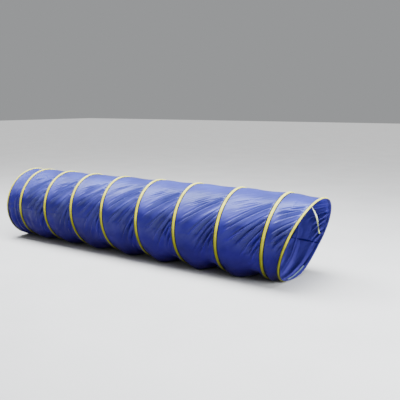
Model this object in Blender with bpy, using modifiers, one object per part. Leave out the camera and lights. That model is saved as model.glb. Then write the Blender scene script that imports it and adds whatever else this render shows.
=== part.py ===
"""A pop-up agility tunnel: ten spring-steel hoops joined by nine bays of thin fabric.

Each hoop is a wire whose two ends meet in a crimped sleeve. A padded tape casing covers the wire
from outside, and the edges of the fabric bays lie under the casing. Two tie straps hang on the
front hoop. The tunnel runs along X, with its front at +X, and it lies on the floor at Z = 0.
"""

import math

import bmesh
import bpy
from mathutils import Matrix, Vector

# Tunnel layout, in metres and degrees. A lean is the tilt of a hoop's top towards +X.
REAR_HOOP_X = -1.2887
REAR_BAY_LENGTH = 0.172
BAY_LENGTH = 0.2974
FRONT_BAY_LENGTH = 0.0915
HOOP_LEANS = (5.0, 1.5, -2.0, -5.5, -5.5, -2.5, 0.0, 3.5, 7.5, 20.5)
# The front hoop, drawn out by its top, has turned a little about its foot and stands as an oval
FRONT_HOOP_TURN = -4.7
FRONT_HOOP_STRETCH = 0.010

# Hoop outline: a circle whose lowest stretch is pressed flat by the floor
CREST_RADIUS = 0.280
FLAT_HALF_ANGLE = 9.0
ARC_SEGMENTS = 25

# Section of the tape casing, from the fabric outwards
CASING_HALF_WIDTH = 0.013
END_CASING_HALF_WIDTH = 0.008
CASING_HEIGHT = 0.0072
FLANGE_THICKNESS = 0.0008
SHOULDER_HALF_WIDTH = 0.005
SHOULDER_HEIGHT = 0.005
CREST_HALF_WIDTH = 0.0025
CHANNEL_HALF_WIDTH = 0.0035
CHANNEL_HEIGHT = 0.0056

# Wire and the sleeve that joins its ends
WIRE_RADIUS = 0.0015
WIRE_HEIGHT = 0.0029
WIRE_END_GAP = 0.0006
SLEEVE_RADIUS = 0.0024
SLEEVE_WALL = 0.0006
SLEEVE_LENGTH = 0.036
SLEEVE_SIDES = 10

# Fabric bays
CLEARANCE = 0.0003
FABRIC_THICKNESS = 0.0008
BAY_EDGE_INSET = 0.0005
CASING_EXIT = 0.014
END_HEM_REACH = 0.0075

# Tie straps
STRAP_WIDTH = 0.008
STRAP_THICKNESS = 0.001
UPPER_STRAP_ANGLE = 117.5
UPPER_STRAP_LENGTH = 0.145
UPPER_STRAP_FORWARD = 0.050
UPPER_STRAP_TWIST = 100.0
UPPER_STRAP_STEPS = 8
LOWER_STRAP_ARC_STEPS = 2
LOWER_STRAP_FLAT_LENGTH = 0.060
LOWER_STRAP_SETBACK = 0.0025

CASING_BASE_RADIUS = CREST_RADIUS - CASING_HEIGHT
FABRIC_RADIUS = CASING_BASE_RADIUS - CLEARANCE
ARC_STEP = (360.0 - 2.0 * FLAT_HALF_ANGLE) / ARC_SEGMENTS
FRONT_HOOP = len(HOOP_LEANS) - 1
END_HOOPS = (0, FRONT_HOOP)
# Turns the drawing plane upright: drawn x runs along Y, drawn y runs up, drawn z runs along X
STAND_UP = Matrix(((0, 0, 1, 0), (1, 0, 0, 0), (0, 1, 0, 0), (0, 0, 0, 1)))


def clear_scene():
    for item in list(bpy.data.objects):
        bpy.data.objects.remove(item, do_unlink=True)


def new_collection(name):
    collection = bpy.data.collections.new(name)
    bpy.context.scene.collection.children.link(collection)
    return collection


def new_material(name, colour, roughness, metallic=0.0):
    material = bpy.data.materials.new(name)
    material.use_nodes = True
    shader = material.node_tree.nodes["Principled BSDF"]
    shader.inputs["Base Color"].default_value = (*colour, 1.0)
    shader.inputs["Roughness"].default_value = roughness
    shader.inputs["Metallic"].default_value = metallic
    return material


def hoop_angles():
    """Angles of the outline's corners, from one end of the flat round over the top to the other."""
    first = FLAT_HALF_ANGLE - 90.0
    return [math.radians(first + ARC_STEP * i) for i in range(ARC_SEGMENTS + 1)]


def stretch_of(number):
    """How much taller than round, and narrower, the hoop's half height and half width are."""
    return FRONT_HOOP_STRETCH if number == FRONT_HOOP else 0.0


def outline(radius, stretch):
    """The hoop's outline at a radius, as points in the drawing plane round the hoop's centre."""
    half_width = radius - stretch
    half_height = radius + stretch
    return [
        Vector((half_width * math.cos(a), half_height * math.sin(a), 0.0)) for a in hoop_angles()
    ]


def centre_height(stretch):
    """Height of an upright hoop's centre, with the crest at the ends of its flat on the floor."""
    flat_end, after = outline(CASING_BASE_RADIUS, stretch)[:2]
    rise = after - flat_end
    # The crest stands off the base along the bisector of the corner at the end of the flat
    bisector_tilt = math.atan2(rise.y, rise.x) / 2.0
    return CASING_HEIGHT * math.cos(bisector_tilt) - flat_end.y


def hoop_positions():
    """Where each hoop meets the floor, from the rear hoop to the front one."""
    lengths = [REAR_BAY_LENGTH] + [BAY_LENGTH] * (len(HOOP_LEANS) - 3) + [FRONT_BAY_LENGTH]
    positions = [REAR_HOOP_X]
    for length in lengths:
        positions.append(positions[-1] + length)
    return positions


def heading(number):
    """How far a hoop has turned about the upright through its foot."""
    turn = FRONT_HOOP_TURN if number == FRONT_HOOP else 0.0
    return Matrix.Rotation(math.radians(turn), 4, "Z")


def hoop_frame(number):
    """Matrix from the drawing plane, round the hoop's centre, to the leaning hoop's place."""
    lean = math.radians(HOOP_LEANS[number])
    lift = CREST_HALF_WIDTH * abs(math.sin(lean))
    floor_point = Matrix.Translation((hoop_positions()[number], 0.0, lift))
    centre = Matrix.Translation((0.0, 0.0, centre_height(stretch_of(number))))
    return floor_point @ heading(number) @ Matrix.Rotation(lean, 4, "Y") @ centre @ STAND_UP


def add_empty(name, matrix, collection):
    empty = bpy.data.objects.new(name, None)
    empty.empty_display_size = 0.05
    empty.matrix_world = matrix
    collection.objects.link(empty)
    return empty


def add_object(name, data, parent, collection, material):
    """Link a new object that sits in its parent's own frame."""
    item = bpy.data.objects.new(name, data)
    collection.objects.link(item)
    item.parent = parent
    if not data.materials:
        data.materials.append(material)
    return item


def poly_curve(name, points, cyclic):
    curve = bpy.data.curves.new(name, "CURVE")
    curve.dimensions = "3D"
    curve.twist_mode = "Z_UP"
    curve.fill_mode = "FULL"
    spline = curve.splines.new("POLY")
    spline.points.add(len(points) - 1)
    for point, place in zip(spline.points, points):
        point.co = (place.x, place.y, place.z, 1.0)
    spline.use_cyclic_u = cyclic
    return curve


def casing_profile(name, half_width, cutters):
    """The casing's section: a padded tape, open underneath where the wire lies in its channel."""
    one_side = [
        (CHANNEL_HEIGHT, CHANNEL_HALF_WIDTH),
        (0.0, CHANNEL_HALF_WIDTH),
        (0.0, half_width),
        (FLANGE_THICKNESS, half_width),
        (SHOULDER_HEIGHT, SHOULDER_HALF_WIDTH),
        (CASING_HEIGHT, CREST_HALF_WIDTH),
    ]
    other_side = [(height, -width) for height, width in reversed(one_side)]
    section = [Vector((height, width, 0.0)) for height, width in one_side + other_side]
    curve = poly_curve(name, section, cyclic=True)
    curve.dimensions = "2D"
    curve.fill_mode = "NONE"
    guide = bpy.data.objects.new(name, curve)
    guide.hide_render = True
    guide.display_type = "WIRE"
    cutters.objects.link(guide)
    return guide


def casing_curve(profile, stretch):
    curve = poly_curve("hoop_casing", outline(CASING_BASE_RADIUS, stretch), cyclic=True)
    curve.bevel_mode = "OBJECT"
    curve.bevel_object = profile
    return curve


def wire_curve(stretch):
    """A ring of wire, open at the middle of its top stretch, where the sleeve joins its ends."""
    corners = outline(CASING_BASE_RADIUS + WIRE_HEIGHT, stretch)
    right = (ARC_SEGMENTS - 1) // 2
    top = corners[right].y
    start = Vector((-WIRE_END_GAP / 2, top, 0.0))
    end = Vector((WIRE_END_GAP / 2, top, 0.0))
    path = [start] + corners[right + 1:] + corners[:right + 1] + [end]
    curve = poly_curve("wire_hoop", path, cyclic=False)
    curve.bevel_depth = WIRE_RADIUS
    curve.bevel_resolution = 1
    curve.use_fill_caps = True
    return curve


def sleeve_mesh(stretch):
    """A short tube along the wire's top stretch."""
    bm = bmesh.new()
    bmesh.ops.create_cone(
        bm, cap_ends=False, segments=SLEEVE_SIDES, depth=SLEEVE_LENGTH,
        radius1=SLEEVE_RADIUS, radius2=SLEEVE_RADIUS,
    )
    top = outline(CASING_BASE_RADIUS + WIRE_HEIGHT, stretch)[(ARC_SEGMENTS - 1) // 2].y
    place = Matrix.Translation((0.0, top, 0.0)) @ Matrix.Rotation(math.radians(90.0), 4, "Y")
    bmesh.ops.transform(bm, matrix=place, verts=bm.verts)
    mesh = bpy.data.meshes.new("crimp_sleeve")
    bm.to_mesh(mesh)
    bm.free()
    return mesh


def add_wall(item, thickness, offset):
    """Give an open surface its thickness: offset -1 grows inwards, 0 grows both ways."""
    wall = item.modifiers.new("Wall", "SOLIDIFY")
    wall.thickness = thickness
    wall.offset = offset
    wall.use_even_offset = True


def ring_at(number, distance, parent_inverse):
    """The fabric's outline on one hoop, moved along the hoop's own axis by a distance."""
    frame = parent_inverse @ hoop_frame(number) @ Matrix.Translation((0.0, 0.0, distance))
    return [frame @ point for point in outline(FABRIC_RADIUS, stretch_of(number))]


def lofted_tube(name, rings):
    """An open tube through rings of equal point count, with its faces pointing out."""
    bm = bmesh.new()
    loops = [[bm.verts.new(point) for point in ring] for ring in rings]
    for near, far in zip(loops, loops[1:]):
        for i in range(len(near)):
            j = (i + 1) % len(near)
            bm.faces.new((near[i], near[j], far[j], far[i]))
    mesh = bpy.data.meshes.new(name)
    bm.to_mesh(mesh)
    bm.free()
    return mesh


def panel_rings(bay, parent_inverse):
    """Rings of the bay between hoop number bay and the next, tucked under both casings."""
    start = -END_HEM_REACH if bay == 0 else BAY_EDGE_INSET
    end = END_HEM_REACH if bay + 1 == FRONT_HOOP else -BAY_EDGE_INSET
    return [
        ring_at(bay, start, parent_inverse),
        ring_at(bay, CASING_EXIT, parent_inverse),
        ring_at(bay + 1, -CASING_EXIT, parent_inverse),
        ring_at(bay + 1, end, parent_inverse),
    ]


def ribbon(name, centres, width_directions):
    """An open strip along the centres, as wide as a strap in each direction given."""
    bm = bmesh.new()
    rows = []
    for centre, direction in zip(centres, width_directions):
        half = direction * (STRAP_WIDTH / 2)
        rows.append((bm.verts.new(centre - half), bm.verts.new(centre + half)))
    for upper, lower in zip(rows, rows[1:]):
        bm.faces.new((upper[0], upper[1], lower[1], lower[0]))
    mesh = bpy.data.meshes.new(name)
    bm.to_mesh(mesh)
    bm.free()
    return mesh


def upper_strap(collection, material):
    """The strap that leaves the front casing's edge forwards and falls, turning as it goes."""
    angle = math.radians(UPPER_STRAP_ANGLE)
    across = (CASING_BASE_RADIUS - FRONT_HOOP_STRETCH) * math.cos(angle)
    up = (CASING_BASE_RADIUS + FRONT_HOOP_STRETCH) * math.sin(angle)
    forward = END_CASING_HALF_WIDTH + STRAP_THICKNESS / 2 + CLEARANCE
    anchor = hoop_frame(FRONT_HOOP) @ Vector((across, up, forward))
    pivot_matrix = Matrix.Translation(anchor) @ heading(FRONT_HOOP)
    pivot = add_empty("tie_strap_upper_pivot", pivot_matrix, collection)
    centres = []
    directions = []
    for step in range(UPPER_STRAP_STEPS + 1):
        share = step / UPPER_STRAP_STEPS
        reach = UPPER_STRAP_FORWARD * math.sin(share * math.pi / 2)
        centres.append(Vector((reach, 0.0, -UPPER_STRAP_LENGTH * share)))
        turn = math.radians(UPPER_STRAP_TWIST * share)
        directions.append(Vector((math.sin(turn), math.cos(turn), 0.0)))
    mesh = ribbon("tie_strap_upper", centres, directions)
    strap = add_object("tie_strap_upper", mesh, pivot, collection, material)
    add_wall(strap, STRAP_THICKNESS, 0.0)


def lower_strap(collection, material):
    """The strap that lies inside the front hem, down the far wall and on to the flat."""
    radius = FABRIC_RADIUS - FABRIC_THICKNESS - CLEARANCE - STRAP_THICKNESS
    corners = outline(radius, FRONT_HOOP_STRETCH)
    path = corners[LOWER_STRAP_ARC_STEPS::-1]
    path.append(path[-1] + Vector((-LOWER_STRAP_FLAT_LENGTH, 0.0, 0.0)))
    setback = Vector((0.0, 0.0, LOWER_STRAP_SETBACK))
    pivot_matrix = hoop_frame(FRONT_HOOP) @ Matrix.Translation(path[0] + setback)
    pivot = add_empty("tie_strap_lower_pivot", pivot_matrix, collection)
    centres = [point - path[0] for point in path]
    mesh = ribbon("tie_strap_lower", centres, [Vector((0.0, 0.0, 1.0))] * len(path))
    strap = add_object("tie_strap_lower", mesh, pivot, collection, material)
    add_wall(strap, STRAP_THICKNESS, 0.0)


def add_hoops(collection, cutters):
    yellow = new_material("casing_yellow", (0.78, 0.70, 0.30), 0.75)
    steel = new_material("spring_steel", (0.55, 0.56, 0.58), 0.35, metallic=1.0)
    zinc = new_material("sleeve_zinc", (0.62, 0.62, 0.60), 0.4, metallic=1.0)
    middle_profile = casing_profile("casing_profile", CASING_HALF_WIDTH, cutters)
    end_profile = casing_profile("end_casing_profile", END_CASING_HALF_WIDTH, cutters)
    for number in range(len(HOOP_LEANS)):
        label = number + 1
        stretch = stretch_of(number)
        casing = casing_curve(end_profile if number in END_HOOPS else middle_profile, stretch)
        centre = add_empty(f"hoop_{label}_centre", hoop_frame(number), collection)
        add_object(f"hoop_casing_{label}", casing, centre, collection, yellow)
        add_object(f"wire_hoop_{label}", wire_curve(stretch), centre, collection, steel)
        sleeve = sleeve_mesh(stretch)
        ferrule = add_object(f"crimp_sleeve_{label}", sleeve, centre, collection, zinc)
        add_wall(ferrule, SLEEVE_WALL, -1.0)


def add_panels(collection):
    blue = new_material("panel_blue", (0.04, 0.09, 0.42), 0.4)
    for bay in range(len(HOOP_LEANS) - 1):
        label = bay + 1
        corner = Matrix.Translation((hoop_positions()[bay], 0.0, 0.0))
        origin = add_empty(f"bay_{label}_origin", corner, collection)
        mesh = lofted_tube(f"fabric_panel_{label}", panel_rings(bay, corner.inverted()))
        panel = add_object(f"fabric_panel_{label}", mesh, origin, collection, blue)
        add_wall(panel, FABRIC_THICKNESS, -1.0)


def main():
    clear_scene()
    parts = new_collection("agility_tunnel")
    cutters = new_collection("guides")
    add_hoops(parts, cutters)
    add_panels(parts)
    ribbon_colour = new_material("strap_ribbon", (0.72, 0.70, 0.42), 0.7)
    upper_strap(parts, ribbon_colour)
    lower_strap(parts, ribbon_colour)


main()
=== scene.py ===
"""Looks of the agility tunnel: wrinkled nylon bays, taped hoops, hems, seams and tie ribbons.

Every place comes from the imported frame. Each hoop's centre, axis and up direction are read from
its casing node, and the soft pieces are drawn between and round those hoops.

Two coordinates are used all over: "along" runs from 0 at a bay's rear hoop to 1 at its front hoop,
and "around" is an angle in degrees that is 0 at the near side (-Y), 90 at the top, 180 at the far
side and 270 at the floor.
"""

import math
from collections import namedtuple

import bmesh
import bpy
import numpy as np
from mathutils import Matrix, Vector


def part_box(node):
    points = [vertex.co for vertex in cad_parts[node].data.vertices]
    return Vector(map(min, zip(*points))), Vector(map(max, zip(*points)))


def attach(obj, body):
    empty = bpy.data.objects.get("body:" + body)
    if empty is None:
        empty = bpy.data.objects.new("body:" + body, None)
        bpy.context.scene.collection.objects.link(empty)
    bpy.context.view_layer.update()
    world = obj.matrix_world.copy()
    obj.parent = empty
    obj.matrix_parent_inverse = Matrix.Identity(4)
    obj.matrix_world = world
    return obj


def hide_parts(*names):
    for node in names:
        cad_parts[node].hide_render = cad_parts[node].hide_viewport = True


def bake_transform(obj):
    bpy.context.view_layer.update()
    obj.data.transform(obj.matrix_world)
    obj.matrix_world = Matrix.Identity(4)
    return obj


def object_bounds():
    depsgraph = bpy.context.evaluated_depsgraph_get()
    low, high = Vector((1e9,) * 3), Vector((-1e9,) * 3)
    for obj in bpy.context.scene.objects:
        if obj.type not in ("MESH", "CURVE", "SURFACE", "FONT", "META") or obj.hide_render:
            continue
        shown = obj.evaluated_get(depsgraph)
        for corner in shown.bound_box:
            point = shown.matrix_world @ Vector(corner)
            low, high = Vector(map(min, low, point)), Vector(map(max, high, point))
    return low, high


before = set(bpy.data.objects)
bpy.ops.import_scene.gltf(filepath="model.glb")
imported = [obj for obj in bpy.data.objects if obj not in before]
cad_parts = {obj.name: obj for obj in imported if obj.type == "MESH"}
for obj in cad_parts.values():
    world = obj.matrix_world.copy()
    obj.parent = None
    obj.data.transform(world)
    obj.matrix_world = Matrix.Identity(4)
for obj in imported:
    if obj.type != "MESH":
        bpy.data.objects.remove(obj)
CAD_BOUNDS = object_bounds()

MM = 0.001
HOOP_COUNT = 10
BAY_COUNT = HOOP_COUNT - 1
HOOP_BODIES = ["rear_hoop"] + [f"hoop_{n}" for n in range(2, HOOP_COUNT)] + ["front_hoop"]

# Fabric. A slope is how many degrees round a line climbs over a bay of FULL_BAY's length.
FABRIC_WALL = 0.5 * MM
FULL_BAY = 0.2974
FLOOR_GAP = 1.5 * MM
FLOOR_SOFTNESS = 3.0 * MM

# The fabric's mesh. Its columns are CREASED_STEP degrees apart inside CREASED_ARC, on both sides.
CREASED_ARC = (-42.0, 74.0)
CREASED_STEP = 0.6
PLAIN_STEP = 1.25
STEP_ALONG = 3.3 * MM

# An end bay has a joint at each edge, so it is cut in two, at these places along it
REAR_BAY_CUT = 0.2
FRONT_BAY_CUT = 0.5

# The lengthwise seam of a bay: a strip that stands out from the fabric on both its sides
SEAM_AROUND = 196.0
SEAM_HALF_ARC = 1.2
SEAM_OUTSIDE = 0.5 * MM
SEAM_INSIDE = 1.3 * MM

# Tape casing over the seam allowance, both lying on the fabric
CASING_STEPS = 420
CASING_LIFT = 0.5 * MM
SEAM_STRIP = 0.6 * MM

# Where the picture was taken: ahead of the tunnel's front, on its near side
CAMERA_PLACE = (2.3056, -2.955, 1.069)
CAMERA_TILT = 79.87
CAMERA_TURN = 32.82
SENSOR_WIDTH = 36.0
LENS = 47.7

Hoop = namedtuple("Hoop", "centre axis side up stretch crest height half_band")


# ---------------------------------------------------------------- small maths

def smoothstep(low, high, value):
    """0 up to low, 1 from high on, and a smooth rise in between."""
    share = np.clip((value - low) / (high - low), 0.0, 1.0)
    return share * share * (3.0 - 2.0 * share)


def soft_max(value, floor, softness):
    """The larger of value and floor, with the corner between them rounded."""
    gap = value - floor
    return floor + 0.5 * (gap + np.sqrt(gap * gap + softness * softness))


def bell(value, middle, spread):
    """1 at the middle, falling away smoothly on both sides."""
    return np.exp(-((value - middle) / spread) ** 2)


def unit(vectors):
    return vectors / np.linalg.norm(vectors, axis=-1, keepdims=True)


def lattice_noise(u, v, seed):
    """Smooth value noise from -1 to 1 over the plane of u and v."""
    size = 64
    table = np.random.RandomState(seed).uniform(-1.0, 1.0, (size, size))
    cell_u = np.floor(u).astype(int)
    cell_v = np.floor(v).astype(int)
    share_u = smoothstep(0.0, 1.0, u - cell_u)
    share_v = smoothstep(0.0, 1.0, v - cell_v)

    def corner(step_u, step_v):
        return table[(cell_u + step_u) % size, (cell_v + step_v) % size]

    near = corner(0, 0) * (1 - share_u) + corner(1, 0) * share_u
    far = corner(0, 1) * (1 - share_u) + corner(1, 1) * share_u
    return near * (1 - share_v) + far * share_v


# ---------------------------------------------------------------- hoops

# Share of a casing node's points that lie below its crest
BELOW_CREST = 0.84


def read_hoop(number):
    """Fit an oval to the crest of a casing node, in the hoop's own plane.

    The oval is rise ** 2 = flat * across ** 2 + shift * across + lift * rise + rest. The first
    pass takes every point, and the second only those that the first one finds on the crest.
    """
    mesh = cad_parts[f"hoop_casing_{number}"].data
    points = np.array([v.co for v in mesh.vertices], float)
    middle = points.mean(axis=0)
    axis = np.linalg.svd(points - middle)[2][2]
    axis = axis * np.sign(axis[0])
    side = unit(np.cross([0.0, 0.0, 1.0], axis))
    up = np.cross(axis, side)
    across = (points - middle) @ side
    rise = (points - middle) @ up
    half_band = np.abs((points - middle) @ axis).max()
    kept = np.ones(len(points), bool)
    for _ in range(2):
        terms = np.column_stack([across ** 2, across, rise, np.ones(len(points))])[kept]
        flat, shift, lift, rest = np.linalg.lstsq(terms, (rise ** 2)[kept], rcond=None)[0]
        off_side, off_up = shift / (-2 * flat), lift / 2
        half_height = math.sqrt(rest + off_up ** 2 - flat * off_side ** 2)
        half_width = half_height / math.sqrt(-flat)
        size = np.hypot((across - off_side) / half_width, (rise - off_up) / half_height)
        kept = size > np.quantile(size, BELOW_CREST)
    centre = middle + side * off_side + up * off_up
    stretch = (half_height - half_width) / 2
    crest = (half_height + half_width) / 2
    return Hoop(centre, axis, side, up, stretch, crest, centre[2] / up[2], half_band)


HOOPS = [read_hoop(n) for n in range(1, HOOP_COUNT + 1)]
MIDDLE_HOOP = 5
CREST = HOOPS[MIDDLE_HOOP].crest


def hem_reach(number, panel):
    """How far an end panel's hem stands out past its hoop, along the hoop's axis."""
    hoop = HOOPS[number]
    points = np.array([v.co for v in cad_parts[panel].data.vertices], float)
    ahead = (points - hoop.centre) @ hoop.axis
    return ahead.max() if number else -ahead.min()


REAR_HEM = hem_reach(0, "fabric_panel_1")
FRONT_HEM = hem_reach(HOOP_COUNT - 1, f"fabric_panel_{BAY_COUNT}")
FABRIC_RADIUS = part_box("fabric_panel_6")[1].y
BASE_RADIUS = FABRIC_RADIUS + CASING_LIFT
FLAT_SOFTNESS = 2.0 * MM


def hoop_ring(hoop, radius, around):
    """A hoop's outline at a radius: a circle or oval pressed flat where it meets the floor."""
    angle = np.radians(around)
    across = -(radius - hoop.stretch) * np.cos(angle)
    rise = (radius + hoop.stretch) * np.sin(angle)
    rise = soft_max(rise, (CREST - radius) - hoop.height, FLAT_SOFTNESS)
    return hoop.centre + across[:, None] * hoop.side + rise[:, None] * hoop.up


def flow_at(number, around):
    """The direction in which the fabric passes a hoop, as unit vectors towards the front."""
    before = max(number - 1, 0)
    after = min(number + 1, HOOP_COUNT - 1)
    rear = hoop_ring(HOOPS[before], FABRIC_RADIUS, around)
    front = hoop_ring(HOOPS[after], FABRIC_RADIUS, around)
    return unit(front - rear)


# ---------------------------------------------------------------- fabric shape

# The creases meet the front hoop between these two angles, at this share of the bay's length
FAN_TOP = 60.0
FAN_BOTTOM = -18.0
FRONT_END = 0.92

# A crease counts as low by degrees: not at all at LOW_FROM and above, and fully LOW_SPAN below it.
# A low crease is steeper, starts further forward and stands out more.
LOW_FROM = 44.0
LOW_SPAN = 50.0
CREASE_SLOPE = 44.0
LOW_SLOPE_GAIN = 78.0
CREASE_START = 0.08
LOW_START_GAIN = 0.66
LOW_HEIGHT_GAIN = 0.35

# Towards the rear a crease is broader and steeper. It has a narrow valley above it and a wide hollow
# below, grows to its full height over LONGEST_RISE of the bay at most, and fades at the front hoop.
REAR_BROADENING = 0.4
REAR_BEND = 0.10
VALLEY_DEPTH = 0.62
HOLLOW_DEPTH = 0.30
LONGEST_RISE = 0.30
FRONT_FADE = 0.35

# At a hoop the fabric is held flat under the casing, and comes free between these two multiples
# of CASING_COVER. Where it is held, it keeps this share of its inward folds.
CASING_COVER = 15.0 * MM
HELD_TO = 0.9
FREE_FROM = 2.3
HELD_SHARE = 0.35

# Spacing of the creases in degrees, strength as a factor, puckers as a count, drape in millimetres
# and sag as a factor
BayStyle = namedtuple("BayStyle", "spacing strength puckers drape sag")
BAY_STYLES = [
    BayStyle(30.0, 0.20, 0, 5.5, 0.35),
    BayStyle(13.0, 1.30, 2, 1.5, 0.65),
    BayStyle(12.5, 1.30, 2, 1.0, 0.75),
    BayStyle(12.0, 1.25, 2, 1.0, 0.85),
    BayStyle(12.0, 1.20, 2, 1.0, 0.95),
    BayStyle(11.5, 1.20, 3, 1.0, 1.05),
    BayStyle(11.0, 1.15, 3, 1.0, 1.15),
    BayStyle(11.0, 1.20, 3, 1.0, 1.15),
    BayStyle(11.0, 1.00, 1, 0.8, 0.50),
]


def side_angles(around):
    """Angles above the horizontal as seen from the near side and from the far side, -180 to 180."""
    near = (around + 180.0) % 360.0 - 180.0
    far = (180.0 - around + 180.0) % 360.0 - 180.0
    return near, far


def creases(along, angle, length, seed, spacing, strength):
    """Tension creases: each runs up to the front hoop, and the lower ones are steeper and shorter."""
    draw = np.random.RandomState(seed)
    total = np.zeros_like(along)
    front_angle = FAN_TOP + draw.uniform(-4.0, 3.0)
    while front_angle > FAN_BOTTOM:
        low = min(max((LOW_FROM - front_angle) / LOW_SPAN, 0.0), 1.0)
        slope = (CREASE_SLOPE + LOW_SLOPE_GAIN * low) * draw.uniform(0.90, 1.08) * length / FULL_BAY
        start = CREASE_START + LOW_START_GAIN * low + draw.uniform(-0.05, 0.10)
        height = draw.uniform(7.0, 11.5) * MM * (1.0 + LOW_HEIGHT_GAIN * low)
        behind = FRONT_END - along
        width = draw.uniform(5.2, 7.4) * MM * (1.0 + REAR_BROADENING * behind)
        line = front_angle - slope * behind * (1.0 + REAR_BEND * behind)
        lean = math.atan2(math.radians(slope) * FABRIC_RADIUS, length)
        distance = np.radians(angle - line) * FABRIC_RADIUS * math.cos(lean) / width
        ridge = np.exp(-np.abs(distance) ** np.where(distance > 0.0, 1.5, 1.1))
        valley = bell(distance, 1.9, 0.9)
        hollow = bell(distance, -3.4, 2.2)
        rise = min(LONGEST_RISE, 0.5 * (1.0 - start))
        fade = 1.0 - FRONT_FADE * smoothstep(0.90, 1.0, along)
        reach = smoothstep(start, start + rise, along) * fade
        total += height * reach * (ridge - VALLEY_DEPTH * valley - HOLLOW_DEPTH * hollow)
        front_angle -= spacing * draw.uniform(0.70, 1.30)
    return total * strength


def puckers(along, angle, length, seed, count):
    """Short shallow grooves high on the side, lying flatter than the creases below them."""
    draw = np.random.RandomState(seed)
    total = np.zeros_like(along)
    for _ in range(count):
        middle = draw.uniform(0.34, 0.66)
        height_angle = draw.uniform(46.0, 60.0)
        slope = draw.uniform(24.0, 38.0) * length / FULL_BAY
        distance = np.radians(angle - height_angle - slope * (along - middle)) * FABRIC_RADIUS
        groove = bell(distance, 0.0, 4.4 * MM)
        lip = bell(distance, -10.0 * MM, 5.0 * MM)
        window = bell(along, middle, 0.19)
        total -= draw.uniform(3.5, 5.5) * MM * (groove - 0.6 * lip) * window
    return total


def drapes(along, angle, seed):
    """Soft upright folds of slack fabric, beside and below the middle."""
    draw = np.random.RandomState(seed)
    wander = 1.8 * lattice_noise(along * 2.2, angle / 34.0, seed + 1)
    pace = draw.uniform(17.0, 21.0)
    phase = draw.uniform(0.0, 6.0)
    waves = np.sin(along * pace + angle * 0.02 + phase + wander)
    window = bell(angle, -20.0, 34.0)
    depth = 0.75 + 0.45 * lattice_noise(along * 3.1, angle / 25.0, seed + 2)
    return waves * window * depth


def fine_creases(along, angle, length, seed):
    """Small crinkles that run the same way as the tension creases."""
    sheared = angle + 40.0 * (1.0 - along) * length / FULL_BAY
    stretch = sheared * math.radians(1.0) * FABRIC_RADIUS
    window = smoothstep(-75.0, -30.0, angle) * (1.0 - smoothstep(55.0, 95.0, angle))
    coarse = lattice_noise(stretch / 0.020, along * 2.6, seed)
    fine = lattice_noise(stretch / 0.010, along * 4.1, seed + 1)
    return window * (coarse + 0.5 * fine) * MM


def sag(along, angle, seed):
    """The loose lower fabric: full just in front of the rear hoop, drawn up before the front one."""
    draw = np.random.RandomState(seed)
    full = draw.uniform(27.0, 33.0) * MM * bell(along, draw.uniform(0.30, 0.38), 0.22)
    drawn = draw.uniform(24.0, 31.0) * MM * bell(along, draw.uniform(0.77, 0.82), 0.11)
    lobe = draw.uniform(7.0, 11.0) * MM * bell(along, 0.92, 0.035)
    low = bell(angle, -60.0, 27.0)
    lowest = bell(angle, -70.0, 22.0)
    return low * full - lowest * drawn + lowest * lobe


def waist(along, around, seed):
    """The taut fabric draws in a little between hoops, and puffs a little along the top."""
    draw = np.random.RandomState(seed)
    near, far = side_angles(around)
    upper = smoothstep(-20.0, 25.0, near) * smoothstep(-20.0, 25.0, far)
    crown = bell(around, 90.0, 30.0)
    dip = -4.0 * MM * upper * np.sin(math.pi * along)
    puff = draw.uniform(3.0, 5.5) * MM * crown * bell(along, 0.25, 0.2)
    ripple = lattice_noise(along * 2.0 + 7.0, around / 40.0, seed + 5) * 1.6 * MM
    return dip + puff + ripple


def displacement(bay, along, around, length):
    """How far the fabric stands out from the smooth tube between two hoops, in metres.

    Each side of each bay draws from seeds of its own.
    """
    style = BAY_STYLES[bay]
    total = waist(along, around, 400 + bay)
    for side, angle in enumerate(side_angles(around)):
        seed = 1000 * side + 17 * bay + 5
        total = total + creases(along, angle, length, seed, style.spacing, style.strength)
        total = total + puckers(along, angle, length, seed + 1, style.puckers)
        total = total + style.drape * MM * drapes(along, angle, seed + 2)
        total = total + fine_creases(along, angle, length, seed + 3)
        total = total + style.sag * sag(along, angle, seed + 9)
    return total


def bay_points(bay, along, around, offset=0.0):
    """Points of a bay's fabric on a grid of along by around. The offset is along the normal.

    The smooth tube under the folds is a cubic curve at each angle, which leaves either hoop the
    way the fabric passes it, so neighbouring bays meet without a kink.
    """
    rear = hoop_ring(HOOPS[bay], FABRIC_RADIUS, around)
    front = hoop_ring(HOOPS[bay + 1], FABRIC_RADIUS, around)
    reach = np.linalg.norm(front - rear, axis=1)
    rear_pull = flow_at(bay, around) * reach[:, None]
    front_pull = flow_at(bay + 1, around) * reach[:, None]
    t = along[:, None, None]
    smooth = (
        (2 * t ** 3 - 3 * t ** 2 + 1) * rear + (t ** 3 - 2 * t ** 2 + t) * rear_pull
        + (3 * t ** 2 - 2 * t ** 3) * front + (t ** 3 - t ** 2) * front_pull
    )
    tangent = np.gradient(smooth, axis=0)
    girth = np.roll(smooth, -1, axis=1) - np.roll(smooth, 1, axis=1)
    normal = unit(np.cross(tangent, girth))
    along_grid = np.repeat(along[:, None], len(around), axis=1)
    around_grid = np.repeat(around[None, :], len(along), axis=0)
    stand = displacement(bay, along_grid, around_grid, reach.mean())
    covered = CASING_COVER / reach[None, :]
    free = smoothstep(covered * HELD_TO, covered * FREE_FROM, along_grid)
    free = free * smoothstep(covered * HELD_TO, covered * FREE_FROM, 1.0 - along_grid)
    held = np.minimum(stand, 0.0) * HELD_SHARE * (1.0 - free)
    points = smooth + normal * (stand * free + held + offset)[..., None]
    points[..., 2] = soft_max(points[..., 2], FLOOR_GAP, FLOOR_SOFTNESS)
    return points


# ---------------------------------------------------------------- mesh builders

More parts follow.
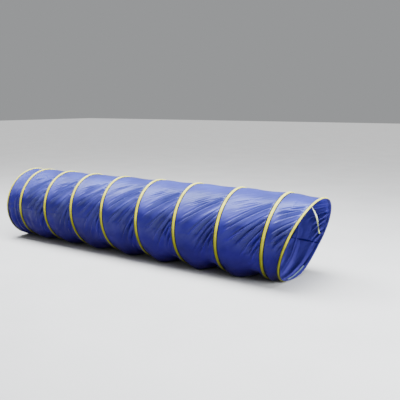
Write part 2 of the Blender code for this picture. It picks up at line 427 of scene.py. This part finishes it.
def travel(line):
    """Distance travelled at each point of a closed line, with the whole length as the last value."""
    steps = np.linalg.norm(np.roll(line, -1, axis=0) - line, axis=1)
    return np.concatenate([[0.0], np.cumsum(steps)])


def grid_mesh(name, points, material, close_rows, close_columns):
    """A surface over rows of points, which may join up either way, with UVs in metres."""
    rows, columns = points.shape[:2]
    row_places = travel(points[:, 0])
    column_places = travel(points[0])
    row, column = np.meshgrid(
        np.arange(rows if close_rows else rows - 1),
        np.arange(columns if close_columns else columns - 1),
        indexing="ij",
    )
    corners = [(row, column), (row + 1, column), (row + 1, column + 1), (row, column + 1)]
    quads = np.stack([(i % rows) * columns + j % columns for i, j in corners], axis=-1)
    places = np.stack(
        [np.stack([row_places[i], column_places[j]], axis=-1) for i, j in corners], axis=-2
    )
    mesh = bpy.data.meshes.new(name)
    mesh.from_pydata(points.reshape(-1, 3).tolist(), [], quads.reshape(-1, 4).tolist())
    mesh.uv_layers.new(name="metres").data.foreach_set("uv", places.reshape(-1))
    mesh.materials.append(material)
    item = bpy.data.objects.new(name, mesh)
    bpy.context.scene.collection.objects.link(item)
    face_out(item)
    return item


def face_out(item):
    """Close any open ends and turn every face outwards."""
    bm = bmesh.new()
    bm.from_mesh(item.data)
    bmesh.ops.holes_fill(bm, edges=[e for e in bm.edges if e.is_boundary])
    bmesh.ops.recalc_face_normals(bm, faces=bm.faces)
    bm.to_mesh(item.data)
    bm.free()
    item.data.shade_smooth()


def ring_band(name, number, section, material, steps=CASING_STEPS, waver=None):
    """A closed band round a hoop, swept from a closed section of (along the fabric, outwards)."""
    around = np.arange(steps) * 360.0 / steps
    base = hoop_ring(HOOPS[number], BASE_RADIUS, around)
    tangent = unit(np.roll(base, -1, axis=0) - np.roll(base, 1, axis=0))
    flow = flow_at(number, around)
    flow = unit(flow - tangent * np.sum(flow * tangent, axis=1, keepdims=True))
    outward = np.cross(flow, tangent)
    widths = np.array([width for width, height in section])[None, :]
    heights = np.array([height for width, height in section])[None, :]
    if waver is not None:
        widths, heights = waver(around[:, None], widths, heights)
    points = base[:, None] + flow[:, None] * widths[..., None] + outward[:, None] * heights[..., None]
    points[..., 2] = np.maximum(points[..., 2], 0.0)
    return grid_mesh(name, points, material, close_rows=True, close_columns=True)


# ---------------------------------------------------------------- materials

def new_material(name):
    """A node material, with its nodes, its links and its Principled shader."""
    material = bpy.data.materials.new(name)
    material.use_nodes = True
    nodes = material.node_tree.nodes
    return material, nodes, material.node_tree.links, nodes["Principled BSDF"]


def add_noise(nodes, links, source, scale, detail, stretch=(1.0, 1.0, 1.0), roughness=0.5):
    mapping = nodes.new("ShaderNodeMapping")
    mapping.inputs["Scale"].default_value = stretch
    links.new(source, mapping.inputs["Vector"])
    noise = nodes.new("ShaderNodeTexNoise")
    noise.inputs["Scale"].default_value = scale
    noise.inputs["Detail"].default_value = detail
    noise.inputs["Roughness"].default_value = roughness
    links.new(mapping.outputs["Vector"], noise.inputs["Vector"])
    return noise.outputs["Fac"]


def add_ramp(nodes, links, source, stops):
    ramp = nodes.new("ShaderNodeValToRGB")
    elements = ramp.color_ramp.elements
    while len(elements) < len(stops):
        elements.new(0.5)
    for element, (position, colour) in zip(elements, stops):
        element.position = position
        element.color = (*colour, 1.0)
    links.new(source, ramp.inputs["Fac"])
    return ramp.outputs["Color"]


def add_range(nodes, links, source, low, high, start=0.0, end=1.0):
    spread = nodes.new("ShaderNodeMapRange")
    spread.inputs["From Min"].default_value = start
    spread.inputs["From Max"].default_value = end
    spread.inputs["To Min"].default_value = low
    spread.inputs["To Max"].default_value = high
    links.new(source, spread.inputs["Value"])
    return spread.outputs["Result"]


def add_bump(nodes, links, height, strength, distance, base=None):
    bump = nodes.new("ShaderNodeBump")
    bump.inputs["Strength"].default_value = strength
    bump.inputs["Distance"].default_value = distance
    links.new(height, bump.inputs["Height"])
    if base is not None:
        links.new(base, bump.inputs["Normal"])
    return bump.outputs["Normal"]


# About how many times a wave texture repeats in one unit at scale 1
WAVE_RATE = 3.1


def add_weave(nodes, links, uv, pitch):
    """Two crossed thread waves, as a height from 0 to 1."""
    waves = []
    for direction in ("X", "Y"):
        wave = nodes.new("ShaderNodeTexWave")
        wave.bands_direction = direction
        wave.inputs["Scale"].default_value = 1.0 / (pitch * WAVE_RATE)
        links.new(uv, wave.inputs["Vector"])
        waves.append(wave.outputs["Fac"])
    cross = nodes.new("ShaderNodeMath")
    cross.operation = "MULTIPLY"
    links.new(waves[0], cross.inputs[0])
    links.new(waves[1], cross.inputs[1])
    return cross.outputs["Value"]


# How much the noise adds at most to a point's height before its tint is looked up
HEIGHT_WANDER = 0.10


def add_height(nodes, links, place):
    """Height above the floor in metres, raised by a slow noise so that tints end unevenly."""
    split = nodes.new("ShaderNodeSeparateXYZ")
    links.new(place.outputs["Object"], split.inputs["Vector"])
    wander = nodes.new("ShaderNodeMath")
    wander.operation = "MULTIPLY_ADD"
    links.new(add_noise(nodes, links, place.outputs["Object"], 7.0, 3.0), wander.inputs[0])
    wander.inputs[1].default_value = HEIGHT_WANDER
    links.new(split.outputs["Z"], wander.inputs[2])
    return wander.outputs["Value"]


def add_height_light_and_shade(nodes, links, height, colour, tints):
    """Multiply a colour by a tint that depends on height: painted shade low down, and painted light on
    top.
    """
    tint = add_ramp(nodes, links, height, tints)
    mix = nodes.new("ShaderNodeMix")
    mix.data_type = "RGBA"
    mix.blend_type = "MULTIPLY"
    mix.inputs["Factor"].default_value = 1.0
    links.new(colour, mix.inputs["A"])
    links.new(tint, mix.inputs["B"])
    return mix.outputs["Result"]


# Share of the light on thin nylon that passes through it
LIGHT_THROUGH = 0.45

# Heights in metres between which nylon goes from its lower gloss to its upper one
GLOSS_HEIGHTS = (0.24, 0.40)


def nylon_material(name, deep, mid, pale, roughness, tints, gloss):
    """Thin coated nylon: fine weave, faint crinkles, uneven dye, painted shade and light by height,
    silky gloss and light through it.
    """
    material, nodes, links, shader = new_material(name)
    place = nodes.new("ShaderNodeTexCoord")
    patches = add_noise(nodes, links, place.outputs["Object"], 5.0, 4.0)
    colour = add_ramp(nodes, links, patches, [(0.30, deep), (0.52, mid), (0.75, pale)])
    height = add_height(nodes, links, place)
    # Painted shade low down and painted light on top, by height
    colour = add_height_light_and_shade(nodes, links, height, colour, tints)
    links.new(colour, shader.inputs["Base Color"])
    crinkle = add_noise(nodes, links, place.outputs["Object"], 26.0, 5.0, (0.7, 1.0, 1.3), 0.6)
    links.new(add_range(nodes, links, crinkle, roughness - 0.06, roughness + 0.08),
              shader.inputs["Roughness"])
    bumped = add_bump(nodes, links, crinkle, 0.25, 2.0 * MM)
    weave = add_weave(nodes, links, place.outputs["UV"], 0.8 * MM)
    bumped = add_bump(nodes, links, weave, 0.25, 0.1 * MM, bumped)
    links.new(bumped, shader.inputs["Normal"])
    shader.inputs["Specular Tint"].default_value = (0.60, 0.72, 1.0, 1.0)
    shader.inputs["Sheen Weight"].default_value = 0.10
    shader.inputs["Sheen Roughness"].default_value = 0.25
    shader.inputs["Sheen Tint"].default_value = (0.72, 0.84, 1.0, 1.0)
    level = add_range(nodes, links, height, *gloss, *GLOSS_HEIGHTS)
    links.new(level, shader.inputs["Specular IOR Level"])
    through = nodes.new("ShaderNodeBsdfTranslucent")
    links.new(colour, through.inputs["Color"])
    blend = nodes.new("ShaderNodeMixShader")
    blend.inputs["Fac"].default_value = LIGHT_THROUGH
    links.new(shader.outputs["BSDF"], blend.inputs[1])
    links.new(through.outputs["BSDF"], blend.inputs[2])
    links.new(blend.outputs["Shader"], nodes["Material Output"].inputs["Surface"])
    return material


def tape_material(name, worn, mid, bright, weave_pitch, tints):
    """Woven polyester tape of patchy tone, with cross ribs, painted shade low down and painted light
    on top.
    """
    material, nodes, links, shader = new_material(name)
    place = nodes.new("ShaderNodeTexCoord")
    patches = add_noise(nodes, links, place.outputs["Object"], 14.0, 5.0, roughness=0.6)
    colour = add_ramp(nodes, links, patches, [(0.28, worn), (0.50, mid), (0.72, bright)])
    # Painted shade low down and painted light on top, by height
    colour = add_height_light_and_shade(nodes, links, add_height(nodes, links, place), colour, tints)
    links.new(colour, shader.inputs["Base Color"])
    fuzz = add_noise(nodes, links, place.outputs["Object"], 160.0, 3.0)
    links.new(add_range(nodes, links, fuzz, 0.68, 0.86), shader.inputs["Roughness"])
    weave = add_weave(nodes, links, place.outputs["UV"], weave_pitch)
    bumped = add_bump(nodes, links, fuzz, 0.2, 0.8 * MM)
    bumped = add_bump(nodes, links, weave, 0.5, 0.3 * MM, bumped)
    links.new(bumped, shader.inputs["Normal"])
    shader.inputs["Specular IOR Level"].default_value = 0.1
    return material


def steel_material():
    material, nodes, links, shader = new_material("spring_steel")
    place = nodes.new("ShaderNodeTexCoord")
    drawn = add_noise(nodes, links, place.outputs["Object"], 300.0, 3.0, (1.0, 0.2, 0.2))
    colour = add_ramp(nodes, links, drawn, [(0.3, (0.40, 0.41, 0.43)), (0.7, (0.62, 0.63, 0.65))])
    links.new(colour, shader.inputs["Base Color"])
    links.new(add_range(nodes, links, drawn, 0.25, 0.42), shader.inputs["Roughness"])
    links.new(add_bump(nodes, links, drawn, 0.2, 0.1 * MM), shader.inputs["Normal"])
    shader.inputs["Metallic"].default_value = 1.0
    return material


# Heights as add_height gives them, each with the colour that multiplies the dye there. They were
# matched to the picture, and carry the shading of its bright overhead light as well as the dye:
# the upper sides are much paler than the studio lamps alone would make them.
NYLON_TINTS = [
    (0.08, (1.2, 0.62, 0.60)),
    (0.27, (1.8, 1.2, 1.6)),
    (0.40, (1.5, 1.3, 1.4)),
    (0.47, (7.5, 10.5, 3.6)),
    (0.57, (5.4, 8.8, 3.2)),
]
PAINTED_LIT_NYLON_TINTS = [(0.08, (0.9, 0.9, 0.9)), (0.50, (1.2, 1.3, 1.1))]
SHADE_STRIP_TINTS = [(0.08, (0.7, 0.72, 0.6)), (0.50, (1.0, 1.0, 1.0))]
TAPE_TINTS = [
    (0.08, (0.15, 0.18, 0.3)),
    (0.24, (0.30, 0.34, 0.4)),
    (0.34, (0.62, 0.66, 0.7)),
    (0.44, (1.12, 1.14, 1.1)),
    (0.58, (1.40, 1.50, 8.0)),
]
RIBBON_TINTS = [
    (0.10, (0.28, 0.36, 0.80)),
    (0.42, (0.70, 0.80, 0.30)),
    (0.50, (0.95, 1.0, 0.8)),
    (0.56, (1.0, 1.0, 1.25)),
]

NYLON = nylon_material(
    "blue_nylon", (0.008, 0.006, 0.085), (0.011, 0.008, 0.115), (0.015, 0.012, 0.15),
    roughness=0.34, tints=NYLON_TINTS, gloss=(0.06, 0.70),
)
# Paler copy of the blue nylon for inside faces, hems and inner seams: painted light for light through
# the fabric
PAINTED_LIT_NYLON = nylon_material(
    "nylon_painted_lit", (0.056, 0.046, 0.29), (0.068, 0.056, 0.36), (0.080, 0.068, 0.43),
    roughness=0.60, tints=PAINTED_LIT_NYLON_TINTS, gloss=(0.10, 0.15),
)
# Near-black nylon for the strips beside each tape: painted shade for the dark lines along the tape's
# edges
SHADE_STRIP_NYLON = nylon_material(
    "nylon_painted_shade", (0.005, 0.005, 0.012), (0.007, 0.007, 0.018), (0.010, 0.010, 0.026),
    roughness=0.5, tints=SHADE_STRIP_TINTS, gloss=(0.10, 0.2),
)
TAPE = tape_material(
    "yellow_tape", (0.29, 0.255, 0.008), (0.37, 0.33, 0.012), (0.44, 0.40, 0.02),
    weave_pitch=1.2 * MM, tints=TAPE_TINTS,
)
RIBBON = tape_material(
    "cream_ribbon", (0.30, 0.31, 0.18), (0.38, 0.40, 0.25), (0.46, 0.48, 0.34),
    weave_pitch=0.8 * MM, tints=RIBBON_TINTS,
)
STEEL = steel_material()


# ---------------------------------------------------------------- pieces


def attach_fabric(item, bay):
    """Bake a piece of a bay's fabric into world space; no body is tied to it here."""
    if bay == 0:
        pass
    elif bay == BAY_COUNT - 1:
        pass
    else:
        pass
    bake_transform(item)
    return item


def bay_parts(bay):
    """The stretches, in along, that a bay is cut into."""
    if bay == 0:
        return [(0.0, REAR_BAY_CUT), (REAR_BAY_CUT, 1.0)]
    if bay == BAY_COUNT - 1:
        return [(0.0, FRONT_BAY_CUT), (FRONT_BAY_CUT, 1.0)]
    return [(0.0, 1.0)]


def part_name(stem, bay, part):
    letter = "_" + "ab"[part] if len(bay_parts(bay)) > 1 else ""
    return f"{stem}_{bay + 1}{letter}"


def shell(outer, inner):
    """One closed loop of rows, out along the outer surface and back along the inner one."""
    return np.concatenate([outer, inner[::-1]], axis=0)


def fabric_columns():
    """Angles of the fabric's columns, closer together where the creases lie on either side."""
    low, high = CREASED_ARC
    stretches = [(low, high, CREASED_STEP), (high, 180.0 - high, PLAIN_STEP),
                 (180.0 - high, 180.0 - low, CREASED_STEP), (180.0 - low, 360.0 + low, PLAIN_STEP)]
    return np.concatenate([
        np.linspace(start, end, round((end - start) / step), endpoint=False)
        for start, end, step in stretches
    ])


def give_inside_painted_light(piece):
    """Give a shell's inner side, which is the second half of its faces, a material of its own: a paler
    nylon, painted light for the light coming through the fabric.
    """
    count = len(piece.data.polygons)
    piece.data.materials.append(PAINTED_LIT_NYLON)
    inside = np.arange(count) >= count // 2
    piece.data.polygons.foreach_set("material_index", inside.astype(int))


def build_bay(bay):
    """A bay's nylon, as a thin closed shell for each stretch that the bay is cut into."""
    around = fabric_columns()
    length = np.linalg.norm(HOOPS[bay + 1].centre - HOOPS[bay].centre)
    for part, (first, last) in enumerate(bay_parts(bay)):
        steps = max(8, round(length * (last - first) / STEP_ALONG))
        along = np.linspace(first, last, steps + 1)
        points = shell(bay_points(bay, along, around), bay_points(bay, along, around, -FABRIC_WALL))
        name = part_name("nylon_bay", bay, part)
        piece = grid_mesh(name, points, NYLON, close_rows=True, close_columns=True)
        give_inside_painted_light(piece)
        attach_fabric(piece, bay)
        if part == 0:
            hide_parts(f"fabric_panel_{bay + 1}")


def build_seam(bay):
    """The lengthwise seam that closes a bay into a tube: a narrow felled strip, inside and out."""
    columns = np.linspace(SEAM_AROUND - SEAM_HALF_ARC, SEAM_AROUND + SEAM_HALF_ARC, 5)
    for part, (first, last) in enumerate(bay_parts(bay)):
        along = np.linspace(first, last, 40)
        outer = bay_points(bay, along, columns, offset=SEAM_OUTSIDE)
        inner = bay_points(bay, along, columns, offset=-SEAM_INSIDE)
        closed = np.concatenate([outer, inner[:, ::-1]], axis=1)
        name = part_name("seam_bay", bay, part)
        strip = grid_mesh(name, closed, NYLON, close_rows=False, close_columns=True)
        attach_fabric(strip, bay)


# Half of the wire's channel in section, from its foot inwards and up to its roof
CHANNEL_FOOT = 3.6 * MM
CHANNEL_SIDE = (3.5 * MM, 4.4 * MM)
CHANNEL_ROOF = (2.2 * MM, 5.8 * MM)

# Heights just above the channel's roof, between which the tape's crown starts to pucker
CROWN_START = (5.81 * MM, 5.85 * MM)


def casing_section(half):
    """The padded tape in section: a round crown over the wire's channel, between two thin edges."""
    foot = SEAM_STRIP + 0.1 * MM
    edge = foot + 0.8 * MM
    crown = CREST - BASE_RADIUS
    crown_half = half - 2.2 * MM
    outer = [(half, foot), (half + 0.2 * MM, foot + 0.4 * MM), (half - 0.3 * MM, edge),
             (half - 1.2 * MM, edge), (half - 1.7 * MM, edge - 0.3 * MM)]
    for step in range(13):
        angle = math.pi * step / 12
        width = math.copysign(abs(math.cos(angle)) ** 0.8, math.cos(angle)) * crown_half
        height = edge + (crown - edge) * math.sin(angle) ** 0.75
        outer.append((width, height))
    outer += [(-width, height) for width, height in reversed(outer[:5])]
    right = [CHANNEL_ROOF, CHANNEL_SIDE, (CHANNEL_FOOT, foot)]
    left = [(-width, height) for width, height in reversed(right)]
    return outer + left + right


def tape_waver(seed):
    """Small puckers in the tape's crown, above the wire's channel, and drift of the whole tape."""
    def waver(around, widths, heights):
        length = around * math.radians(1.0) * CREST
        raised = smoothstep(*CROWN_START, heights)
        pucker = lattice_noise(length / 0.014, np.full_like(length, 3.3), seed)
        swell = lattice_noise(length / 0.07, np.full_like(length, 8.1), seed + 1)
        heights = heights - raised * (0.35 * MM * np.abs(pucker) + 0.3 * MM * np.abs(swell))
        drift = lattice_noise(length / 0.09, np.full_like(length, 1.7), seed + 2) * 0.7 * MM
        return widths + drift, heights
    return waver


# How far the tape stops short of the casing node's edge, and how far the dark strip under it goes
# past that edge on every hoop but the rear one
TAPE_INSET = 3.8 * MM
END_TAPE_INSETS = {0: 3.4 * MM, HOOP_COUNT - 1: 1.6 * MM}
STRIP_REACH = 1.6 * MM


def build_casing(number):
    """The tape over a hoop's wire, and a strip of seam allowance that shows on both its sides,
    coloured near-black as painted shade along the tape's edges.
    """
    half = HOOPS[number].half_band
    tape_half = half - END_TAPE_INSETS.get(number, TAPE_INSET)
    band = ring_band(f"tape_casing_{number + 1}", number, casing_section(tape_half), TAPE,
                     waver=tape_waver(50 + number))
    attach(band, HOOP_BODIES[number])
    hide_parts(f"hoop_casing_{number + 1}")
    edge = half + (0.0 if number == 0 else STRIP_REACH)
    section = [(-edge, 0.0), (-edge, SEAM_STRIP), (0.0, SEAM_STRIP),
               (edge, SEAM_STRIP), (edge, 0.0), (0.0, 0.0)]
    # The strip's near-black colour is painted shade along the tape's edges
    strip = ring_band(f"painted_shade_strip_{number + 1}", number, section, SHADE_STRIP_NYLON)
    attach(strip, HOOP_BODIES[number])


def build_inner_seam(number):
    """The bound seam allowance on the inside of a hoop."""
    top = -CASING_LIFT - FABRIC_WALL - 0.2 * MM
    half = 6.0 * MM
    thick = 1.2 * MM
    section = [(-half, top), (-half, top - thick * 0.6), (0.8 * MM - half, top - thick),
               (half - 0.8 * MM, top - thick), (half, top - thick * 0.6), (half, top)]
    # The paler nylon here is painted light, as on the inside of the bays
    band = ring_band(f"inner_seam_{number + 1}", number, section, PAINTED_LIT_NYLON, steps=300)
    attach(band, HOOP_BODIES[number])


# The front hem hangs out up to this much further than elsewhere, low on the far side
SKIRT_GAIN = 2.6
SKIRT_AROUND = 248.0
SKIRT_SPREAD = 36.0


def skirt_waver(around, widths, heights):
    """Widen the part of the front hem that is ahead of its hoop, where the skirt hangs out."""
    skirt = 1.0 + SKIRT_GAIN * bell(around, SKIRT_AROUND, SKIRT_SPREAD)
    return widths * np.where(widths > 0.0, skirt, 1.0), heights


def build_hem(number, reach, outwards, waver=None):
    """The turned and stitched hem at an open end: doubled fabric that ends in a rolled edge."""
    outer = -CASING_LIFT - 0.1 * MM
    inner = outer - 1.5 * MM
    roll_half_width = 1.3 * MM
    roll_half_height = 1.1 * MM
    roll = reach - roll_half_width
    section = [(0.6 * MM, outer), (roll - 2.0 * MM, outer), (roll - 1.0 * MM, outer - 0.2 * MM)]
    for step in range(9):
        angle = math.radians(110.0 - 27.5 * step)
        width = roll + roll_half_width * math.cos(angle)
        height = (outer + inner) / 2 + roll_half_height * math.sin(angle)
        section.append((width, height))
    section += [(roll - 1.0 * MM, inner + 0.2 * MM), (roll - 2.0 * MM, inner), (-6.0 * MM, inner),
                (-6.0 * MM, inner + 0.6 * MM), (0.6 * MM, inner + 0.6 * MM)]
    section = [(width * outwards, height) for width, height in section]
    # The hem takes the paler nylon, which is painted light
    band = ring_band(f"hem_{number + 1}", number, section, PAINTED_LIT_NYLON, waver=waver)
    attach(band, HOOP_BODIES[number])


def paint_wires():
    """The wires and sleeves keep their CAD shapes, which the casings hide, and get steel."""
    for name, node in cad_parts.items():
        if name.startswith(("wire_hoop", "crimp_sleeve")):
            node.data.materials.clear()
            node.data.materials.append(STEEL)


# ---------------------------------------------------------------- tie ribbons

RIBBON_HALF = 4.0 * MM
RIBBON_THICKNESS = 0.8 * MM

# The upper ribbon starts at one angle and turns by the other on its way down, in degrees. It bows
# forwards, and sways sideways more and more towards its free end.
UPPER_START = -10.0
UPPER_TWIST = 225.0
UPPER_BOW = 0.07
UPPER_SWAY = 4.0 * MM

# The lower ribbon's ends, how far it lies inside the fabric and ahead of the hoop, and its ripple
LOWER_ARC = (233.6, 276.0)
LOWER_DEPTH = 7.0 * MM
LOWER_AHEAD = 2.5 * MM
LOWER_RIPPLE = 1.0 * MM


def ribbon_strip(name, path, widths, half_width, thickness):
    """A flat ribbon along a path, with the direction of its width given at each point."""
    tangent = unit(np.gradient(path, axis=0))
    widths = unit(widths - tangent * np.sum(widths * tangent, axis=1, keepdims=True))
    face = np.cross(tangent, widths)
    corners = [(-1.0, -1.0), (-0.5, -1.15), (0.5, -1.15), (1.0, -1.0),
               (1.0, 1.0), (0.5, 1.15), (-0.5, 1.15), (-1.0, 1.0)]
    edges = [
        path + widths * (across * half_width) + face * (out * thickness / 2) for across, out in corners
    ]
    points = np.stack(edges, axis=1)
    return grid_mesh(name, points, RIBBON, close_rows=False, close_columns=True)


def build_upper_tie():
    """The upper tie leaves the rim forwards and falls, turning over as it goes."""
    corners = np.array([v.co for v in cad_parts["tie_strap_upper"].data.vertices], float)
    top, bottom = corners[:, 2].max(), corners[:, 2].min()
    anchor = corners[corners[:, 2] > top - 1.0 * MM].mean(axis=0)
    end = corners[corners[:, 2] < bottom + 1.0 * MM].mean(axis=0)
    share = np.linspace(0.0, 1.0, 70)
    reach = np.sin(share * math.pi / 2) + UPPER_BOW * np.sin(2.0 * math.pi * share)
    path = anchor + (end - anchor) * np.column_stack([reach, reach, share])
    path[:, 1] += UPPER_SWAY * np.sin(2.2 * math.pi * share) * share
    turn = np.radians(UPPER_TWIST * share ** 1.2 + UPPER_START)
    widths = np.column_stack([np.sin(turn), np.cos(turn), np.zeros(len(share))])
    strap = ribbon_strip("ribbon_tie_upper", path, widths, RIBBON_HALF, RIBBON_THICKNESS)
    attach(strap, "upper_tie")
    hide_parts("tie_strap_upper")


def build_lower_tie():
    """The lower tie lies inside the front hoop, low on the far side, clear of the rolled hem."""
    front = HOOPS[-1]
    around = np.linspace(*LOWER_ARC, 50)
    radius = FABRIC_RADIUS - FABRIC_WALL - LOWER_DEPTH
    path = hoop_ring(front, radius, around) + front.axis * LOWER_AHEAD
    path = path + front.up * (LOWER_RIPPLE * np.sin(np.radians(around * 9.0)))[:, None]
    widths = np.repeat(front.axis[None, :], len(path), axis=0)
    strap = ribbon_strip("ribbon_tie_lower", path, widths, RIBBON_HALF, RIBBON_THICKNESS)
    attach(strap, "lower_tie")
    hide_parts("tie_strap_lower")


# ---------------------------------------------------------------- stage

def build_floor():
    bpy.ops.mesh.primitive_plane_add(size=60.0)
    floor = bpy.context.object
    floor.name = "studio_floor"
    material, nodes, links, shader = new_material("pale_floor")
    place = nodes.new("ShaderNodeTexCoord")
    grain = add_noise(nodes, links, place.outputs["Object"], 2.0, 3.0)
    colour = add_ramp(nodes, links, grain, [(0.3, (0.44, 0.44, 0.44)), (0.7, (0.47, 0.47, 0.47))])
    links.new(colour, shader.inputs["Base Color"])
    shader.inputs["Roughness"].default_value = 0.9
    shader.inputs["Specular IOR Level"].default_value = 0.1
    floor.data.materials.append(material)


def aim(item, target):
    item.rotation_euler = (Vector(target) - item.location).to_track_quat("-Z", "Y").to_euler()


def add_area(name, place, target, size, energy, colour):
    data = bpy.data.lights.new(name, "AREA")
    data.shape = "RECTANGLE"
    data.size, data.size_y = size
    data.energy = energy
    data.color = colour
    lamp = bpy.data.objects.new(name, data)
    bpy.context.scene.collection.objects.link(lamp)
    lamp.location = place
    aim(lamp, target)


def add_sun(energy, spread, tilt):
    """A sun overhead, as wide as its spread and tilted off the vertical, both in degrees."""
    data = bpy.data.lights.new("sun", "SUN")
    data.energy = energy
    data.angle = math.radians(spread)
    lamp = bpy.data.objects.new("sun", data)
    bpy.context.scene.collection.objects.link(lamp)
    lamp.rotation_euler = (math.radians(tilt), 0.0, 0.0)


def build_light():
    """A wide soft sky overhead, a soft sun, and a low fill that shines in at the front opening."""
    middle = (CAD_BOUNDS[0][0] + CAD_BOUNDS[1][0]) / 2
    add_area(
        "sky", place=(middle, -0.3, 3.2), target=(middle, 0.0, 0.0),
        size=(6.5, 2.0), energy=640.0, colour=(0.94, 0.97, 1.0),
    )
    add_sun(energy=4.6, spread=30.0, tilt=5.0)
    add_area(
        "fill", place=(middle + 4.6, -0.7, 1.5), target=(middle + 1.0, 0.1, 0.25),
        size=(2.0, 2.0), energy=400.0, colour=(0.95, 0.97, 1.0),
    )
    world = bpy.data.worlds.new("studio_air")
    bpy.context.scene.world = world
    world.use_nodes = True
    background = world.node_tree.nodes["Background"]
    background.inputs["Color"].default_value = (0.96, 0.98, 1.0, 1.0)
    background.inputs["Strength"].default_value = 0.35


def build_camera():
    data = bpy.data.cameras.new("view")
    data.sensor_width = SENSOR_WIDTH
    data.lens = LENS
    camera = bpy.data.objects.new("view", data)
    bpy.context.scene.collection.objects.link(camera)
    camera.location = CAMERA_PLACE
    camera.rotation_euler = (math.radians(CAMERA_TILT), 0.0, math.radians(CAMERA_TURN))
    bpy.context.scene.camera = camera


for bay_number in range(BAY_COUNT):
    build_bay(bay_number)
    build_seam(bay_number)
for hoop_number in range(HOOP_COUNT):
    build_casing(hoop_number)
for hoop_number in range(1, HOOP_COUNT - 1):
    build_inner_seam(hoop_number)
build_hem(0, REAR_HEM, -1.0)
build_hem(HOOP_COUNT - 1, FRONT_HEM, 1.0, skirt_waver)
paint_wires()
build_upper_tie()
build_lower_tie()
build_floor()
build_light()
build_camera()
